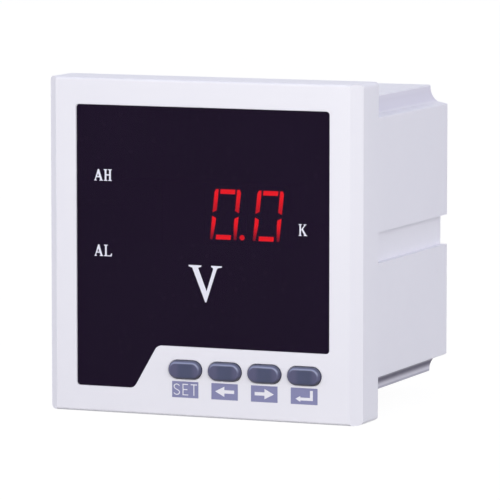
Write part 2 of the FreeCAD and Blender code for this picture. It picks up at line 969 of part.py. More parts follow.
def make_lit_bars():
    """The lit bars of the last two figures, which read 0.0, and the point between them."""
    body = new_body("lit_bars")
    sketch = upright_sketch(body, DIGIT_FACE - size("bar_thickness"))
    count = int(size("digit_count").value)
    for number in (count - 2, count - 1):
        x = digit_centre(number)
        for rising in (1, -1):
            draw_outline(sketch, level_bar(x, rising))
            for side in (1, -1):
                draw_outline(sketch, upright_bar(x, side, rising))
    foot = size("digit_row_rise") - size("figure_height") / 2 + size("point_radius")
    point = digit_centre(count - 2) + size("point_offset")
    draw_circle(sketch, point, foot, size("point_radius"))
    pad(body, sketch, size("bar_thickness"))
    return body


def make_lamps():
    """Small lamps on the display board behind the kilo sign and the two alarm names."""
    half_mark = size("small_mark_height") / 2
    half_word = size("lamp_width") / 2
    places = {
        "kilo_lamp": (size("kilo_mark_right") + half_mark, size("kilo_mark_rise")),
        "high_alarm_lamp": (alarm_mark_left() + half_word, size("high_mark_rise")),
        "low_alarm_lamp": (alarm_mark_left() + half_word, -size("low_mark_drop")),
    }
    lamps = []
    for label, (x, z) in places.items():
        body = new_body(label)
        face = upright_sketch(body, DIGIT_FACE)
        draw_centred(face, x, z + half_mark, size("lamp_width"), size("lamp_height"))
        pad(body, face, size("digit_depth"))
        lamps.append(body)
    return lamps


def make_display_board():
    body = new_body("display_board")
    side = (CAVITY - size("board_clearance")) * 2
    outline = upright_sketch(body, BOARD_FRONT)
    draw_centred(outline, ZERO, ZERO, side, side)
    pad(body, outline, size("board_thickness"))
    holes = upright_sketch(body, BOARD_FRONT)
    for x in (-POST, POST):
        for z in (-POST, POST):
            draw_circle(holes, x, z, size("pin_radius") + size("pin_clearance"))
    pocket(body, holes, size("board_thickness"))
    return body


def make_display_driver():
    """The chip on the rear of the display board, with its rows of leads."""
    lead = size("lead_reach")
    package = block(
        "display_driver_package",
        ZERO,
        BOARD_REAR + size("chip_height") / 2,
        size("driver_rise"),
        size("driver_width"),
        size("chip_height"),
        size("driver_height"),
    )
    leads = block(
        "display_driver_leads",
        ZERO,
        BOARD_REAR + size("lead_height") / 2,
        size("driver_rise") - lead,
        size("driver_width") - lead,
        size("lead_height"),
        size("driver_height") + lead * 2,
    )
    return combine("Part::Fuse", "display_driver", package, leads)


# Case


def right_hand_case():
    """The right half of the case's section, from foot to top, and its cove arcs.

    Each cove starts as an upright hollow below the top face, turns outwards and ends on a
    narrow ledge that falls to the side.
    """
    top_edge = CASE_SIDE - size("cove_inset")
    ledge_x = CASE_SIDE - size("ledge_width")
    ledge_z = CASE_TOP - size("cove_drop") + size("ledge_fall")
    start_z = CASE_TOP - size("cove_start")
    side_z = CASE_TOP - size("cove_drop")
    channel = size("channel_height") / 2
    channel_x = CASE_SIDE - size("channel_depth")
    upper = [
        (channel_x, channel),
        (CASE_SIDE, channel),
        (CASE_SIDE, side_z),
        (ledge_x, ledge_z),
        (top_edge, start_z),
        (top_edge, CASE_TOP),
    ]
    centre = (top_edge + size("cove_radius"), start_z)
    return upper, 3, centre, size("cove_radius")


def right_hand_cavity():
    """The right half of the hollow inside, one wall in from the case's section."""
    wall = size("case_wall")
    upper, arc, centre, radius = right_hand_case()
    grown = radius + wall
    top = CASE_TOP - wall
    side = CASE_SIDE - wall
    fall = top - centre[1]
    reach = side - centre[0]
    top_x = centre[0] - (grown * grown - fall * fall).root()
    side_z = centre[1] - (grown * grown - reach * reach).root()
    channel = size("channel_height") / 2 + wall
    channel_x = CASE_SIDE - size("channel_depth") - wall
    upper = [
        (channel_x, channel),
        (side, channel),
        (side, side_z),
        (top_x, top),
    ]
    return upper, 2, centre, grown


def draw_section(sketch, half_section):
    """Draws a section from its upper right quarter, mirrored to the foot and to the left."""
    upper, arc, centre, radius = half_section
    lower = [(u, -v) for u, v in reversed(upper)]
    right = lower + upper
    left = [(-u, v) for u, v in reversed(right)]
    points = right + left
    count = len(points)
    last = len(upper) - 2 - arc
    arcs = {}
    for start, x_sign, z_sign in (
        (last, 1, -1),
        (len(upper) + arc, 1, 1),
        (count - 2 - len(upper) - arc, -1, 1),
        (count - 2 - last, -1, -1),
    ):
        arcs[start] = ((centre[0] * x_sign, centre[1] * z_sign), radius)
    draw_outline(sketch, points, arcs)


def make_case():
    body = new_body("case_shell")
    flange_half = CAVITY - size("flange_clearance")
    flange = upright_sketch(body, BOARD_REAR)
    draw_centred(flange, ZERO, ZERO, flange_half * 2, flange_half * 2)
    solid = pad(body, flange, size("flange_thickness"))
    solid = round_edges(
        body, solid, size("cavity_corner"), lambda middle, way: runs_along(way, "y")
    )
    section = upright_sketch(body, BOARD_REAR)
    draw_section(section, right_hand_case())
    solid = pad(body, section, CASE_REAR - BOARD_REAR)
    top_edge = CASE_SIDE - size("cove_inset")
    side_edge = CASE_TOP - size("cove_drop")
    solid = round_edges(body, solid, size("case_edge"), corner_test(top_edge, CASE_TOP))
    solid = round_edges(body, solid, size("case_edge"), corner_test(CASE_SIDE, side_edge))
    hollow = upright_sketch(body, BOARD_REAR)
    draw_section(hollow, right_hand_cavity())
    pocket(body, hollow, CASE_END - BOARD_REAR)

    rails = upright_sketch(body, CASE_END)
    wall = CASE_SIDE - size("case_wall")
    inner = wall - size("rail_depth")
    outer = wall + size("case_wall") / 2
    slot = size("board_thickness") / 2 + size("rail_clearance")
    for level in (-BOARD_LEVEL, BOARD_LEVEL):
        for low, high in (
            (level + slot, level + slot + size("rail_height")),
            (level - slot - size("rail_height"), level - slot),
        ):
            draw_rectangle(rails, inner, low, outer, high)
            draw_rectangle(rails, -outer, low, -inner, high)
    pad(body, rails, CASE_END - size("rail_start"), along_normal=True)

    openings = upright_sketch(body, CASE_END)
    gap = size("block_clearance") * 2
    for way in (1, -1):
        draw_centred(
            openings, ZERO, block_middle(way), block_width() + gap, size("block_height") + gap
        )
    pocket(body, openings, size("rear_wall"))
    return body


# Terminal blocks, on the top of the upper board and under the lower one


def terminal_count():
    """As many terminals as fit between the case's side walls."""
    inside = (CASE_SIDE - size("case_wall") - size("block_side_gap")) * 2
    return int((inside - size("block_wall")).value / size("terminal_pitch").value)


def block_width():
    return size("terminal_pitch") * terminal_count() + size("block_wall")


def block_middle(way):
    """The height of the middle of the upper (way 1) or lower (way -1) terminal block."""
    seat = BOARD_LEVEL + size("board_thickness") / 2
    return (seat + size("block_height") / 2) * way


def terminal_places():
    """The x of each terminal, and the way of each block."""
    count = terminal_count()
    middle = Size.of(count - 1) / 2
    return [
        (size("terminal_pitch") * (Size.of(number) - middle), way)
        for way in (1, -1)
        for number in range(count)
    ]


def make_terminal_block(label, way):
    body = new_body(label)
    block_front = CASE_REAR - size("block_depth")
    cell_floor = CASE_REAR - size("cell_depth")
    outline = upright_sketch(body, block_front)
    draw_centred(outline, ZERO, block_middle(way), block_width(), size("block_height"))
    pad(body, outline, size("block_depth"))
    cells = upright_sketch(body, cell_floor)
    bores = upright_sketch(body, cell_floor)
    cell_width = size("terminal_pitch") - size("block_wall")
    cell_height = size("block_height") - size("block_floor") * 2
    for x, place_way in terminal_places():
        if place_way == way:
            draw_centred(cells, x, block_middle(way), cell_width, cell_height)
            draw_circle(
                bores, x, block_middle(way), size("screw_radius") + size("screw_clearance")
            )
    pocket(body, cells, size("cell_depth"))
    pocket(body, bores, size("screw_length") + size("screw_clearance"), along_normal=True)
    return body


def make_terminal_clamps():
    """A square plate under each screw head, which grips the wire."""
    body = new_body("terminal_clamps")
    cell_floor = CASE_REAR - size("cell_depth")
    width = size("terminal_pitch") - size("block_wall") - size("clamp_clearance") * 2
    plates = upright_sketch(body, cell_floor)
    for x, way in terminal_places():
        draw_centred(plates, x, block_middle(way), width, size("clamp_height"))
        draw_circle(
            plates, x, block_middle(way), size("screw_radius") + size("screw_clearance")
        )
    pad(body, plates, size("clamp_thickness"))
    return body


def make_terminal_screws():
    body = new_body("terminal_screws")
    under_head = CASE_REAR - size("cell_depth") + size("clamp_thickness")
    head_top = under_head + size("screw_head_height")
    heads = upright_sketch(body, under_head)
    shanks = upright_sketch(body, under_head)
    slots = upright_sketch(body, head_top)
    for x, way in terminal_places():
        z = block_middle(way)
        draw_circle(heads, x, z, size("screw_head_radius"))
        draw_circle(shanks, x, z, size("screw_radius"))
        draw_centred(slots, x, z, size("screw_head_radius") * 2, size("screw_slot"))
    pad(body, heads, size("screw_head_height"))
    pad(body, shanks, size("clamp_thickness") + size("screw_length"), along_normal=True)
    pocket(body, slots, size("screw_slot_depth"), along_normal=True)
    return body


# Circuit boards, joined to the display board by pins in sockets


def board_top(way):
    """The height of the top face of the measuring (way 1) or supply (way -1) board."""
    return BOARD_LEVEL * way + size("board_thickness") / 2


def make_board(label, way):
    depth = CASE_END - size("board_end_gap") - size("board_start")
    width = (CASE_SIDE - size("case_wall") - size("board_clearance")) * 2
    return block(
        label,
        ZERO,
        size("board_start") + depth / 2,
        board_top(way) - size("board_thickness"),
        width,
        depth,
        size("board_thickness"),
    )


def make_socket(label, way):
    """A row socket on the rear of the display board, with one long slot for the pins."""
    body = new_body(label)
    middle = board_top(way) + size("socket_height") / 2
    face = upright_sketch(body, BOARD_REAR)
    draw_centred(face, ZERO, middle, size("socket_width"), size("socket_height"))
    pad(body, face, size("socket_length"))
    slot = upright_sketch(body, BOARD_REAR + size("socket_length"))
    gap = size("slot_clearance") * 2
    width = size("header_pitch") * (size("header_count") - 1) + size("pin_side") + gap
    draw_centred(slot, ZERO, middle, width, size("pin_side") + gap)
    pocket(body, slot, size("pin_length") + size("slot_clearance"), along_normal=True)
    return body


def make_header(label, way):
    """A strip on the front edge of a board, with pins that reach forward into the socket."""
    body = new_body(label)
    middle = board_top(way) + size("socket_height") / 2
    strip = upright_sketch(body, size("board_start"))
    draw_centred(strip, ZERO, middle, size("socket_width"), size("socket_height"))
    pad(body, strip, size("header_depth"))
    pins = upright_sketch(body, size("board_start"))
    count = int(size("header_count").value)
    half_row = (size("header_count") - 1) / 2
    for number in range(count):
        x = size("header_pitch") * (Size.of(number) - half_row)
        draw_centred(pins, x, middle, size("pin_side"), size("pin_side"))
    pad(body, pins, size("pin_length"), along_normal=True)
    return body


# Parts of the power supply, on the lower board


def make_transformer():
    """A laminated core with two windows, and the winding on its middle leg."""
    x = -size("core_left")
    y = size("core_rear")
    base = board_top(-1)
    leg = size("core_leg")
    middle_leg = leg * 2
    window_width = (size("core_width") - leg * 2 - middle_leg) / 2
    core_height = BOARD_LEVEL * 2 - size("board_thickness") - size("core_headroom")
    window_height = core_height - leg * 2
    body = new_body("transformer_core")
    face = upright_sketch(body, y - size("core_depth") / 2)
    draw_centred(face, x, base + core_height / 2, size("core_width"), core_height)
    shift = (middle_leg + window_width) / 2
    for side in (x - shift, x + shift):
        draw_centred(face, side, base + core_height / 2, window_width, window_height)
    pad(body, face, size("core_depth"))
    gap = size("winding_clearance")
    winding_height = window_height - gap * 2
    outside = block(
        "winding_outside",
        x,
        y,
        base + leg + gap,
        middle_leg + (window_width - gap) * 2,
        size("core_depth") + (window_width - gap) * 2,
        winding_height,
    )
    inside = block(
        "winding_inside",
        x,
        y,
        base + leg + gap,
        middle_leg + gap * 2,
        size("core_depth") + gap * 2,
        winding_height,
    )
    return [body, combine("Part::Cut", "transformer_winding", outside, inside)]


def make_heat_sink():
    """A folded channel that stands behind the regulator."""
    body = new_body("heat_sink")
    x = size("regulator_right")
    front = size("regulator_rear") + size("regulator_depth") / 2
    half = size("sink_width") / 2
    wall = size("sink_wall")
    rear = front + size("sink_depth")
    section = flat_sketch(body, board_top(-1))
    draw_outline(
        section,
        [
            (x - half, front),
            (x + half, front),
            (x + half, rear),
            (x + half - wall, rear),
            (x + half - wall, front + wall),
            (x - half + wall, front + wall),
            (x - half + wall, rear),
            (x - half, rear),
        ],
    )
    pad(body, section, size("sink_height"), along_normal=True)
    return body


def make_fuse():
    """A glass-tube fuse and the two spring clips that hold it."""
    x = -size("fuse_left")
    axis = board_top(-1) + size("fuse_lift") + size("fuse_radius")
    front = size("fuse_rear") - size("fuse_length") / 2
    fuse = new_body("fuse")
    round_profile = upright_sketch(fuse, front)
    draw_circle(round_profile, x, axis, size("fuse_radius"))
    pad(fuse, round_profile, size("fuse_length"))
    clips = new_body("fuse_clips")
    base = board_top(-1)
    starts = (front, front + size("fuse_length") - size("clip_length"))
    for start in starts:
        face = upright_sketch(clips, start)
        draw_centred(
            face, x, base + size("clip_height") / 2, size("clip_width"), size("clip_height")
        )
        pad(clips, face, size("clip_length"))
    seat = upright_sketch(clips, front)
    seat_radius = size("fuse_radius") + size("screw_clearance")
    draw_circle(seat, x, axis, seat_radius)
    pocket(clips, seat, size("fuse_length"))
    return [fuse, clips]


def make_varistor():
    """A flat disc that stands on its edge."""
    disc = new_body("varistor")
    face = upright_sketch(disc, size("varistor_rear") - size("varistor_thickness") / 2)
    level = board_top(-1) + size("varistor_radius")
    draw_circle(face, -size("varistor_left"), level, size("varistor_radius"))
    pad(disc, face, size("varistor_thickness"))
    return disc


def make_supply_parts():
    base = board_top(-1)
    relay_step = size("relay_width") + size("relay_gap")
    return [
        cylinder(
            "reservoir_capacitor",
            size("capacitor_right"),
            size("capacitor_rear"),
            base,
            size("reservoir_radius"),
            size("reservoir_height"),
        ),
        cylinder(
            "filter_capacitor",
            size("filter_right"),
            size("capacitor_rear"),
            base,
            size("filter_radius"),
            size("filter_height"),
        ),
        block(
            "bridge_rectifier",
            size("bridge_right"),
            size("bridge_rear"),
            base,
            size("bridge_width"),
            size("bridge_depth"),
            size("bridge_height"),
        ),
        block(
            "voltage_regulator",
            size("regulator_right"),
            size("regulator_rear"),
            base,
            size("regulator_width"),
            size("regulator_depth"),
            size("regulator_height"),
        ),
        block(
            "high_alarm_relay",
            size("relay_right"),
            size("relay_rear"),
            base,
            size("relay_width"),
            size("relay_depth"),
            size("relay_height"),
        ),
        block(
            "low_alarm_relay",
            size("relay_right") + relay_step,
            size("relay_rear"),
            base,
            size("relay_width"),
            size("relay_depth"),
            size("relay_height"),
        ),
    ]


# Parts of the measuring circuit, on the upper board


def make_chip(label, x, y, width, depth):
    """A flat package with a low frame of leads on two sides."""
    base = board_top(1)
    package = block(f"{label}_package", x, y, base, width, depth, size("chip_height"))
    leads = block(
        f"{label}_leads",
        x,
        y,
        base,
        width - size("lead_reach"),
        depth + size("lead_reach") * 2,
        size("lead_height"),
    )
    return combine("Part::Fuse", label, package, leads)


def make_resistors():
    """Four resistors in a row, which divide the measured voltage."""
    body = new_body("divider_resistors")
    y = size("resistor_rear")
    level = board_top(1) + size("resistor_radius")
    face = upright_sketch(body, y)
    for number in range(int(size("resistor_count").value)):
        x = size("resistor_right") + size("resistor_pitch") * number
        draw_circle(face, x, level, size("resistor_radius"))
    pad(body, face, size("resistor_length"))
    return body


def make_measuring_parts():
    base = board_top(1)
    return [
        make_chip(
            "microcontroller",
            -size("controller_left"),
            size("controller_rear"),
            size("controller_side"),
            size("controller_side"),
        ),
        make_chip(
            "signal_converter",
            size("converter_right"),
            size("converter_rear"),
            size("converter_width"),
            size("converter_depth"),
        ),
        block(
            "clock_crystal",
            -size("controller_left"),
            size("crystal_rear"),
            base,
            size("crystal_width"),
            size("crystal_depth"),
            size("crystal_height"),
        ),
        block(
            "film_capacitor",
            size("film_right"),
            size("film_rear"),
            base,
            size("film_width"),
            size("film_depth"),
            size("film_height"),
        ),
        make_resistors(),
    ]


def check_and_write(pieces):
    """Stops at the first object that failed, and otherwise writes every piece."""
    for item in document.Objects:
        if "Invalid" in item.State or "Error" in item.State:
            raise RuntimeError(f"{item.Name} failed: {item.State} {item.getStatusString()}")
    for piece in pieces:
        shape = piece.Shape
        if shape.isNull() or not shape.isValid() or not shape.Solids:
            raise RuntimeError(f"{piece.Label} has no valid shape")
    os.makedirs("parts", exist_ok=True)
    for piece in pieces:
        piece.Shape.exportStep(os.path.join("parts", f"{piece.Label}.step"))


pieces = [make_bezel(), make_window(), make_window_marks(), make_legends()]
for key_number, key_label in enumerate(KEY_NAMES):
    pieces.append(make_key(key_number, key_label))
    pieces += make_switch(key_number, key_label)
pieces += make_digits()
pieces.append(make_lit_bars())
pieces += make_lamps()
pieces += [make_display_board(), make_display_driver(), make_case()]
pieces.append(make_board("supply_board", -1))
pieces.append(make_board("measuring_board", 1))
pieces += [make_socket("supply_socket", -1), make_socket("measuring_socket", 1)]
pieces += [make_header("supply_header", -1), make_header("measuring_header", 1)]
pieces.append(make_terminal_block("upper_terminal_block", 1))
pieces.append(make_terminal_block("lower_terminal_block", -1))
pieces += [make_terminal_clamps(), make_terminal_screws()]
pieces += make_transformer()
pieces += make_supply_parts()
pieces += [make_heat_sink(), *make_fuse(), make_varistor()]
pieces += make_measuring_parts()
document.recompute()
check_and_write(pieces)
for piece in pieces:
    print(piece.Label, len(piece.Shape.Solids), round(piece.Shape.Volume, 2))
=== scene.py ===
"""Panel voltmeter: white bezel and case, dark window, lit red figures and four slate keys.

Metres, in the frame of the solids: X to the right seen from the front, Y to the rear, Z up.
"""

import json
import math

import bpy
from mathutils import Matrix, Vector

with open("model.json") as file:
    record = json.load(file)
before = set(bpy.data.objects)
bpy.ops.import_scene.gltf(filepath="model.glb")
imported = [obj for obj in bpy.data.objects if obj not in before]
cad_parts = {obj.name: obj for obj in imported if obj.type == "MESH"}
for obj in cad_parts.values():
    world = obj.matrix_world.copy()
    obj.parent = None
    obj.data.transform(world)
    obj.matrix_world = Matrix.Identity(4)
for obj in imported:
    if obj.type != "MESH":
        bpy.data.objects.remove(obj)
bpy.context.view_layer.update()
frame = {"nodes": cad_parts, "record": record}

MM = 0.001
WHITE = (1.0, 1.0, 1.0, 1.0)

# The camera stands in front, to the right and a little above
CAMERA_TARGET = (8.832 * MM, 0.0, -1.161 * MM)
CAMERA_DISTANCE = 1326.85 * MM
CAMERA_YAW = math.radians(22.3071)
CAMERA_PITCH = math.radians(6.1437)
CAMERA_LENS = 334.68
SENSOR_WIDTH = 36.0
NEAREST_SEEN = 0.05
FARTHEST_SEEN = 50.0

# Light from a pale room, brighter near the horizon and cooler above it, and from one wide, low
# lamp in front
ROOM_LIGHT = 0.47
ROOM_TINT = (0.986, 0.970, 1.035, 1.0)
ROOM_TOP_TINT = (0.98, 1.02, 1.27, 1.0)
BAND_LIGHT = 0.97
BAND_TOP = (0.30, 0.55)
LAMP_DIRECTION = (0.28, -0.84, 0.32)
LAMP_DISTANCE = 0.46
LAMP_WIDTH = 0.75
LAMP_HEIGHT = 0.12
LAMP_POWER = 1.04
LAMP_TINT = (1.02, 1.012, 0.87)

# The floor lies just below the bezel. To the eye it is this share white, and the rest is paint
FLOOR_LEVEL = -48.05 * MM
FLOOR_REACH = 6.0
FLOOR_PAINT = 0.35
FLOOR_WHITE = 1.20
FLOOR_WHITE_SHARE = 0.80

# The keys: their middle height, pitch, the middle of the first, the half length of their
# straight part, and how far from it the painted highlight round their flat top runs
KEY_LEVEL = -34.5 * MM
KEY_PITCH = 12.13 * MM
FIRST_KEY = -5.0 * MM
KEY_STRAIGHT = 2.425 * MM
KEY_EDGE = 2.0 * MM

# How softly that painted highlight begins inside and how wide the rim outside it is, and where
# the upper and lower sides and the ends of a key begin, from its middle
KEY_HIGHLIGHT_SOFT = 0.3 * MM
KEY_RIM = 0.5 * MM
KEY_UPPER = (0.2 * MM, 1.8 * MM)
KEY_LOWER = (0.6 * MM, 1.8 * MM)
KEY_ENDS = (1.4 * MM, 3.2 * MM)

# The coves along the long edges of the case: their inner and outer sides across and in height,
# and how softly their painted shade and the darker line begin. The deeper painted shade in the
# lower ones begins above the outer side and fades towards the inner one, and a darker line runs
# along the outer side
COVE_ACROSS = (39.3 * MM, 44.5 * MM)
COVE_RISE = (37.3 * MM, 42.4 * MM)
COVE_SOFT = 0.3 * MM
SHADE_BEGINS = (0.9 * MM, 2.6 * MM)
SHADE_FADES = (2.2 * MM, 1.3 * MM)
EDGE_LINE = (0.25 * MM, 0.8 * MM)

# How strongly the painted shade in the coves, the darker line and the deeper painted shade in
# the lower coves show
PAINTED_COVE_SHADE_STRENGTH = 0.8
EDGE_TONE = 0.65
PAINTED_LOW_SHADE_STRENGTH = 0.66
PAINTED_LOW_SHADE_VARIATION = 0.2

# The lit figures: their middle height, lean, pitch and the middle of the first lit one, and how
# far from a figure's middle its uprights begin and end and the point begins
FIGURE_LEVEL = 10.05 * MM
FIGURE_LEAN = 0.105
FIGURE_PITCH = 13.1 * MM
FIRST_LIT = 6.35 * MM
UPRIGHT_BEGINS = (2.4 * MM, 2.8 * MM)
UPRIGHT_ENDS = (4.2 * MM, 4.5 * MM)
POINT_BEGINS = (4.5 * MM, 4.8 * MM)

# How far down the lower uprights fade, and how far up the upper ones have faded, from the middle
LOWER_FADE = (2.0 * MM, 7.6 * MM)
UPPER_FADE = (6.0 * MM, 0.6 * MM)

# The size of the clouds of tone in moulded plastic, and how much they vary it
MOULDED_CLOUD = 9.0 * MM
MOULDED_VARIATION = 0.05


# Materials


class Shade:
    """One output in a tree of nodes. Arithmetic on it adds Math nodes."""

    def __init__(self, tree, link=None):
        self.tree = tree
        self.link = link

    def add(self, kind, settings=None, inputs=None, output=0):
        """Any other node: its settings come first, then the values or links of its sockets."""
        made = self.tree.nodes.new(kind)
        for name, value in (settings or {}).items():
            setattr(made, name, value)
        for name, value in (inputs or {}).items():
            socket = made.inputs[name]
            if isinstance(value, Shade):
                self.tree.links.new(value.link, socket)
            else:
                socket.default_value = value
        return Shade(self.tree, made.outputs[output])

    def math(self, operation, *others):
        """A Math node's result, with this as its first value."""
        inputs = dict(enumerate((self, *others)))
        return self.add("ShaderNodeMath", {"operation": operation}, inputs)

    def __add__(self, other):
        return self.math("ADD", other)

    __radd__ = __add__

    def __mul__(self, other):
        return self.math("MULTIPLY", other)

    __rmul__ = __mul__

    def __sub__(self, other):
        return self.math("SUBTRACT", other)

    def __rsub__(self, other):
        return (self * -1.0) + other

    def between(self, low, high):
        """0 below low, 1 above high, and smooth in between."""
        return self.add(
            "ShaderNodeMapRange",
            {"interpolation_type": "SMOOTHSTEP"},
            {"Value": self, "From Min": low, "From Max": high},
        )

    def mix(self, dark, light):
        """A colour between two, by this factor."""
        return self.add(
            "ShaderNodeMix",
            {"data_type": "RGBA"},
            {"Factor": self, 6: dark, 7: light},
            2,
        )

    def place(self):
        """Where a point lies on its piece, in metres."""
        return self.add("ShaderNodeTexCoord", output="Object")

    def axis(self, name):
        """One of the three parts of a place."""
        return self.add("ShaderNodeSeparateXYZ", None, {0: self}, name)

    def noise(self, size, detail=2.0, rough=0.5):
        """Clouds of about this size in metres, from 0 to 1."""
        inputs = {"Vector": self, "Scale": 1.0 / size, "Detail": detail, "Roughness": rough}
        return self.add("ShaderNodeTexNoise", None, inputs)

    def bands(self, direction, scale, distortion=0.0, detail=1.0, profile="SIN"):
        """Bands that follow each other along one axis, from 0 to 1."""
        return self.add(
            "ShaderNodeTexWave",
            {"wave_type": "BANDS", "bands_direction": direction, "wave_profile": profile},
            {"Vector": self, "Scale": scale, "Distortion": distortion, "Detail": detail},
        )

    def bump(self, depth, strength=1.0, over=None):
        """The normals of a surface that this raises by up to a depth in metres."""
        inputs = {"Height": self, "Distance": depth, "Strength": strength}
        if over is not None:
            inputs["Normal"] = over
        return self.add("ShaderNodeBump", None, inputs)


def rgb(red, green, blue):
    """A colour from its values on a screen, 0 to 255."""
    def linear(value):
        value = value / 255.0
        return value / 12.92 if value <= 0.04045 else ((value + 0.055) / 1.055) ** 2.4

    return (linear(red), linear(green), linear(blue), 1.0)


def scaled(colour, factor):
    """A colour made lighter or darker."""
    return tuple(min(1.0, part * factor) for part in colour[:3]) + (1.0,)


def new_material(name):
    """A bare material, its shader and a wrapper for its nodes."""
    material = bpy.data.materials.new(name)
    material.use_nodes = True
    return material, material.node_tree.nodes["Principled BSDF"], Shade(material.node_tree)


def connect(shader, **links):
    """Joins shades to the sockets of a shader; underscores stand for spaces."""
    for name, value in links.items():
        socket = shader.inputs[name.replace("_", " ").title()]
        shader.id_data.links.new(value.link, socket)


def moulded(name, colour, roughness, grain=0.35 * MM, depth=0.012 * MM, coat=0.0):
    """Moulded or dipped plastic: faint clouds of tone, fine texture and uneven gloss."""
    material, shader, nodes = new_material(name)
    place = nodes.place()
    darker = scaled(colour, 1.0 - MOULDED_VARIATION)
    lighter = scaled(colour, 1.0 + MOULDED_VARIATION)
    uneven = place.noise(MOULDED_CLOUD * 0.35, 4.0)
    connect(
        shader,
        base_color=place.noise(MOULDED_CLOUD, 3.0).mix(darker, lighter),
        roughness=uneven * 0.12 + (roughness - 0.06),
        normal=place.noise(grain).bump(depth),
    )
    shader.inputs["Coat Weight"].default_value = coat
    return material


def metal(name, colour, roughness, grain=0.25 * MM, stretch=(1.0, 1.0, 1.0)):
    """Plated or drawn metal with fine marks along one way."""
    material, shader, nodes = new_material(name)
    place = nodes.place()
    drawn = nodes.add("ShaderNodeMapping", None, {"Vector": place, "Scale": stretch})
    marks = drawn.noise(grain, 3.0)
    cloud = place.noise(2.0 * MM, 3.0)
    connect(
        shader,
        base_color=cloud.mix(scaled(colour, 0.82), scaled(colour, 1.08)),
        roughness=marks * 0.2 + (roughness - 0.1),
        normal=marks.bump(0.004 * MM),
    )
    shader.inputs["Metallic"].default_value = 1.0
    return material


def white_case():
    """Satin white plastic with a faint lavender tint and broad, faint clouds.

    Painted shade gives the coves of the case a cooler, darker tone. The lower ones get a deeper
    painted shade below their overhang, which also dulls them, and the case's lower edges are a
    little darker.
    """
    material, shader, nodes = new_material("white_case")
    place = nodes.place()
    across = place.axis("X").math("ABSOLUTE")
    rise = place.axis("Z")
    behind = place.axis("Y").between(0.0, COVE_SOFT)
    inner, outer = COVE_ACROSS
    low, high = COVE_RISE
    inside = across.between(inner - COVE_SOFT, inner + COVE_SOFT)
    inside = inside * (1.0 - across.between(outer - COVE_SOFT, outer))

    # Painted shade in the upper and lower coves: a cooler, darker tone where the case turns in
    painted_cove_shade = inside * rise.math("ABSOLUTE").between(low, low + 4 * COVE_SOFT) * behind
    painted_cove_shade = painted_cove_shade * (1.0 - rise.between(high - COVE_SOFT, high))

    # Deeper painted shade in the lower coves below their overhang, fading towards it; it also
    # dulls the gloss there
    painted_low_shade = inside * behind * rise.between(SHADE_BEGINS[0] - high, SHADE_BEGINS[1] - high)
    painted_low_shade = painted_low_shade * (1.0 - rise.between(-low, COVE_SOFT - low))
    faint = rise.between(-low - SHADE_FADES[0], -low - SHADE_FADES[1])
    painted_low_shade = painted_low_shade * (1.0 - faint * 0.7)

    edge = behind * across.between(inner - 2 * COVE_SOFT, inner - COVE_SOFT)
    edge = edge * (1.0 - rise.between(EDGE_LINE[0] - high, EDGE_LINE[1] - high))

    flow = place.noise(4.0 * MM, 4.0)
    cloud = place.noise(26.0 * MM, 3.0) * 0.7 + flow * 0.3
    tone = cloud.mix(rgb(234, 233, 241), rgb(239, 238, 245))
    # The painted shade of the coves, then the darker lower edge, then the deeper painted shade of
    # the lower coves
    tone = (painted_cove_shade * PAINTED_COVE_SHADE_STRENGTH).mix(tone, rgb(207, 204, 220))
    tone = (edge * EDGE_TONE).mix(tone, rgb(150, 148, 172))
    tone = (painted_low_shade * (flow * PAINTED_LOW_SHADE_VARIATION + PAINTED_LOW_SHADE_STRENGTH)).mix(tone, rgb(92, 88, 106))

    fine = place.noise(0.22 * MM, 3.0, 0.6).bump(0.010 * MM)
    connect(
        shader,
        base_color=tone,
        roughness=place.noise(5.0 * MM, 4.0) * 0.14 + painted_low_shade * 0.5 + 0.32,
        normal=place.noise(14.0 * MM, 1.0).bump(0.15 * MM, 0.25, fine),
    )
    shader.inputs["Specular IOR Level"].default_value = 0.42
    return material


def key_plastic():
    """Slate plastic with painted light, lighter and greyer towards the ends of each key and on
    its upper rim, and painted shade on its lower rim.

    A painted highlight runs round the upper side of each key's flat top.
    """
    material, shader, nodes = new_material("key_blue")
    place = nodes.place()
    aside = (place.axis("X") - FIRST_KEY).math("WRAP", KEY_PITCH / 2, -KEY_PITCH / 2)
    rise = place.axis("Z") - KEY_LEVEL
    past = (aside.math("ABSOLUTE") - KEY_STRAIGHT).math("MAXIMUM", 0.0)
    away = (past * past + rise * rise).math("SQRT")
    cloud = place.noise(4.0 * MM, 3.0)
    uneven = cloud * 0.1 * MM + away
    # The painted highlight round the upper side of the flat top
    painted_highlight = uneven.between(KEY_EDGE - KEY_HIGHLIGHT_SOFT, KEY_EDGE + 0.05 * MM)
    painted_highlight = painted_highlight * (1.0 - uneven.between(KEY_EDGE, KEY_EDGE + KEY_RIM))
    upper = (rise + aside * 0.1).between(*KEY_UPPER)
    lower = (rise * -1.0).between(*KEY_LOWER)
    rim = away.between(KEY_EDGE, KEY_EDGE + KEY_RIM)
    ends = (aside - 0.5 * MM).math("ABSOLUTE").between(*KEY_ENDS)
    body = cloud.mix(rgb(55, 62, 91), rgb(65, 70, 104))
    # Painted light makes the rounded ends and the upper rim lighter, and painted shade darkens
    # the lower rim
    body = (ends * 0.85).mix(body, rgb(80, 79, 112))
    body = (rim * upper).mix(body, rgb(82, 86, 112))
    body = (rim * lower).mix(body, rgb(50, 49, 70))
    # The painted highlight is strongest on the upper side and fades away on the lower side
    painted_highlight = painted_highlight * (upper * 0.85 - lower * 0.15 + 0.15)
    connect(
        shader,
        base_color=painted_highlight.mix(body, rgb(142, 148, 182)),
        roughness=place.noise(1.4 * MM) * 0.06 + 0.27,
        normal=place.noise(0.3 * MM).bump(0.004 * MM),
    )
    return material


